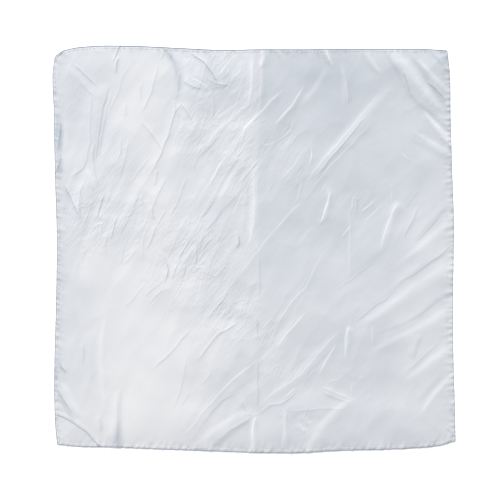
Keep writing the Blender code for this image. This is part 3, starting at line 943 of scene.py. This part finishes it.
def makeCloth(material):
    # a closed thin shell: a flat box whose upper face is refined, then laid on the cloth's heights
    cells = cloth["coarseCells"]
    bm = bmesh.new()
    bmesh.ops.create_grid(bm, x_segments=cells, y_segments=cells, size=0.5)
    raised = bmesh.ops.extrude_face_region(bm, geom=bm.faces[:], use_keep_orig=True)
    top = [f for f in raised["geom"] if isinstance(f, bmesh.types.BMFace)]
    topVerts = [v for v in raised["geom"] if isinstance(v, bmesh.types.BMVert)]
    bmesh.ops.translate(bm, vec=(0, 0, 1), verts=topVerts)
    topEdges = list({e for f in top for e in f.edges})
    bmesh.ops.subdivide_edges(bm, edges=topEdges, cuts=cloth["refine"], use_grid_fill=True)
    co = coordinates(bm)
    inset = cloth["tuckedIn"] / cloth["side"]
    shares = inset + (1 - 2 * inset) * (co[:, :2] + 0.5)
    points = spreadOut(shares[:, 0], shares[:, 1])
    lift = clothLift(points)
    cloth["level"] = lift.min()
    upper = co[:, 2] > 0.5
    heights = lift - cloth["level"] + cloth["rest"] + np.where(upper, cloth["wall"], 0)
    for v, (x, y), z in zip(bm.verts, points, heights):
        v.co = (x, y, z)
    bmesh.ops.recalc_face_normals(bm, faces=bm.faces)
    print("cloth laid, lift in mm", (1000 * np.ptp(lift)).round(2), "faces", len(bm.faces))
    piece = newPiece("satinCloth", bm, material)
    # painted light and shade, which the satin's tint follows
    setPointValues(piece, "paintedShading", paintedClothShading(points))
    setPointValues(piece, "crumpled", crumpleStrength(points))
    setCreases(piece, points)
    return piece


hem = {
    "steps": 400,  # along each side
    "mitreGap": 0.00005,  # at each end
    # once round the turned hem, in millimetres: distance in from the edge, height over the cloth's
    # underside, and painted shade, from 0 at its darkest to 1 where there is none
    "section": (
        (0.0, 0.22, 0.0), (0.25, 0.45, 0.0), (1.1, 0.62, 0.0), (1.8, 0.68, 0.95), (2.6, 0.69, 1.0),
        (3.4, 0.68, 1.0), (3.9, 0.62, 0.80), (4.4, 0.67, 1.0), (4.85, 0.64, 1.0), (5.0, 0.61, 1.0),
        (4.9, 0.5, 0.8), (2.5, 0.0, 0.8), (0.6, 0.02, 0.0),
    ),
    # painted shade at the fold on the very edge, by more on some sides
    "paintedEdgeShade": {"Near": 0.75, "Far": -0.1, "Left": 0.4, "Right": 0.72},
    "deep": (0.145, 0.185, 0.255),  # the colour of the painted shade at that fold, greyer than in the creases
    "crumpled": 0.6,
    "stitchInset": 0.0039,  # how far in from the edge the stitches lie
    "stitchPitch": 0.0038,
    "stitchSize": (0.0021, 0.00052, 0.00026),  # length, width and height
    "stitchLevel": 0.00072,  # their middles over the cloth's underside
    "stitchCorner": 1.6,  # insets from the corner to the first stitch
    "stitchTurn": 0.05,  # how unevenly they are turned, in radians
}
# where each hem lies: from shares along and in from its edge, to shares across and up the cloth
sides = {
    "Near": lambda run, inset: (run, inset),
    "Far": lambda run, inset: (run, 1 - inset),
    "Left": lambda run, inset: (inset, run),
    "Right": lambda run, inset: (1 - inset, run),
}


def restHeights(points):
    # heights of the cloth's underside over z = 0
    return clothLift(points) - cloth["level"] + cloth["rest"]


def makeHem(name, locate, paintedEdgeShade, material):
    # a flat grid rolled into a tube with the hem's section, cut at 45 degrees at both ends
    section = hem["section"]
    bm = bmesh.new()
    bmesh.ops.create_grid(bm, x_segments=len(section), y_segments=hem["steps"], size=0.5)
    co = coordinates(bm)
    ring = np.rint((co[:, 0] + 0.5) * len(section)).astype(int) % len(section)
    inset, rise, paintedShading = np.array(section)[ring].T
    inset, rise = inset / 1000, rise / 1000
    end = (inset + hem["mitreGap"]) / cloth["side"]
    run = end + (1 - 2 * end) * (co[:, 1] + 0.5)
    points = spreadOut(*locate(run, inset / cloth["side"]))
    for v, (x, y), z in zip(bm.verts, points, restHeights(points) + rise):
        v.co = (x, y, z)
    bm.verts.layers.float.new("paintedShading")
    bm.verts.layers.float.new("crumpled")
    paintedShadingLayer, crumpledLayer = bm.verts.layers.float["paintedShading"], bm.verts.layers.float["crumpled"]
    # painted shade at the edge fold and along the section, times the cloth's painted light and shade
    paintedShading = paintedEdgeShade + (1 - paintedEdgeShade) * paintedShading
    for v, value, shade in zip(bm.verts, paintedShading, paintedClothShading(points)):
        v[paintedShadingLayer] = value * shade
        v[crumpledLayer] = hem["crumpled"]
    bmesh.ops.remove_doubles(bm, verts=bm.verts, dist=1e-7)
    bmesh.ops.holes_fill(bm, edges=[e for e in bm.edges if e.is_boundary], sides=0)
    bmesh.ops.recalc_face_normals(bm, faces=bm.faces)
    points = coordinates(bm)[:, :2]
    piece = newPiece(name, bm, material)
    setCreases(piece, points)
    return piece


def stitchSeats():
    # where the stitches of every hem lie, and how each is turned
    seats = []
    for locate in sides.values():
        count = int(cloth["side"] / hem["stitchPitch"]) - 2
        inset = hem["stitchInset"] / cloth["side"]
        margin = hem["stitchCorner"] * inset
        run = margin + (1 - 2 * margin) * (np.arange(count) + 0.5) / count
        points = spreadOut(*locate(run, np.full(count, inset)))
        heading = np.gradient(points, axis=0)
        turns = np.arctan2(heading[:, 1], heading[:, 0]) + hem["stitchTurn"] * np.sin(2.4 * np.arange(count))
        seats.extend(zip(*points.T, restHeights(points) + hem["stitchLevel"], turns))
    return seats


def makeStitches(material):
    # one long bead for each stitch, all in one mesh
    seats = stitchSeats()
    bm = bmesh.new()
    bmesh.ops.create_uvsphere(bm, u_segments=6, v_segments=5, radius=0.5)
    stitch = bpy.data.meshes.new("stitch")
    bm.to_mesh(stitch)
    bm.clear()
    for _ in seats:
        bm.from_mesh(stitch)
    shape = np.array([v.co[:] for v in stitch.vertices]) * hem["stitchSize"]
    bpy.data.meshes.remove(stitch)
    bm.verts.ensure_lookup_table()
    for i, (x, y, z, turn) in enumerate(seats):
        along, across = math.cos(turn), math.sin(turn)
        for v, (a, b, c) in zip(bm.verts[i * len(shape) : (i + 1) * len(shape)], shape):
            v.co = (x + a * along - b * across, y + a * across + b * along, z + c)
    return newPiece("hemStitches", bm, material)


satin = makeSatin("satin", cloth["pale"], cloth["deep"])
satinCloth = makeCloth(satin)
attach(satinCloth, "root")
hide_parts("scarf_panel")
print("cloth made")

hemSatin = makeSatin("hemSatin", cloth["pale"], hem["deep"])
for side, locate in sides.items():
    piece = makeHem("hem" + side, locate, hem["paintedEdgeShade"][side], hemSatin)
    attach(piece, "root")
    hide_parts("hem_" + side.lower())
print("hems made")

stitches = makeStitches(makeThread())
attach(stitches, "root")
print("stitches made")

stage = {
    "floorDrop": 0.0003,
    "floorLook": {
        "Base Color": (0.95, 0.95, 0.95, 1),
        "Roughness": 0.9,
        "Specular IOR Level": 0.0,
        "Emission Color": (1, 1, 1, 1),
        "Emission Strength": 0.35,
    },
    "keyPlace": (-3.0, 11.8, 7.0),
    "keySize": 5.4,
    "keyPower": 3425,  # watts
    "keyColour": (1, 0.955, 0.89),
    "roomColour": (0.86, 0.91, 1, 1),
    "roomStrength": 0.44,
    "cameraHeight": 3.0,
    "lens": 144,  # millimetres, and so is the sensor
    "sensor": 36,
    "seesTo": 20,
}


def makeFloor():
    bm = bmesh.new()
    bmesh.ops.create_grid(bm, x_segments=1, y_segments=1, size=6)
    bmesh.ops.translate(bm, vec=(0, 0, -stage["floorDrop"]), verts=bm.verts)
    material, _, _ = newMaterial("paleFloor", stage["floorLook"])
    floor = newPiece("floor", bm, material)


def makeKeyLight():
    # one large soft light over the far side, turned towards the scarf
    light = bpy.data.lights.new("keyLight", "AREA")
    light.shape = "SQUARE"
    light.size = stage["keySize"]
    light.energy = stage["keyPower"]
    light.color = stage["keyColour"]
    lamp = addObject("keyLight", light)
    lamp.location = stage["keyPlace"]
    lamp.rotation_mode = "QUATERNION"
    lamp.rotation_quaternion = (-Vector(stage["keyPlace"])).to_track_quat("-Z", "Y")


def makeRoom():
    world = bpy.data.worlds.new("softRoom")
    world.use_nodes = True
    background = world.node_tree.nodes["Background"]
    background.inputs["Color"].default_value = stage["roomColour"]
    background.inputs["Strength"].default_value = stage["roomStrength"]
    bpy.context.scene.world = world
    bpy.context.scene.view_settings.view_transform = "Standard"


def makeCamera():
    # straight above the middle of the photo's frame
    lens = bpy.data.cameras.new("camera")
    lens.sensor_width = stage["sensor"]
    lens.lens = stage["lens"]
    lens.clip_end = stage["seesTo"]
    camera = addObject("camera", lens)
    x, y = place(photo["frameMiddle"])
    camera.location = (x, y, stage["cameraHeight"])
    bpy.context.scene.camera = camera


makeFloor()
makeKeyLight()
makeRoom()
makeCamera()
print("stage set")
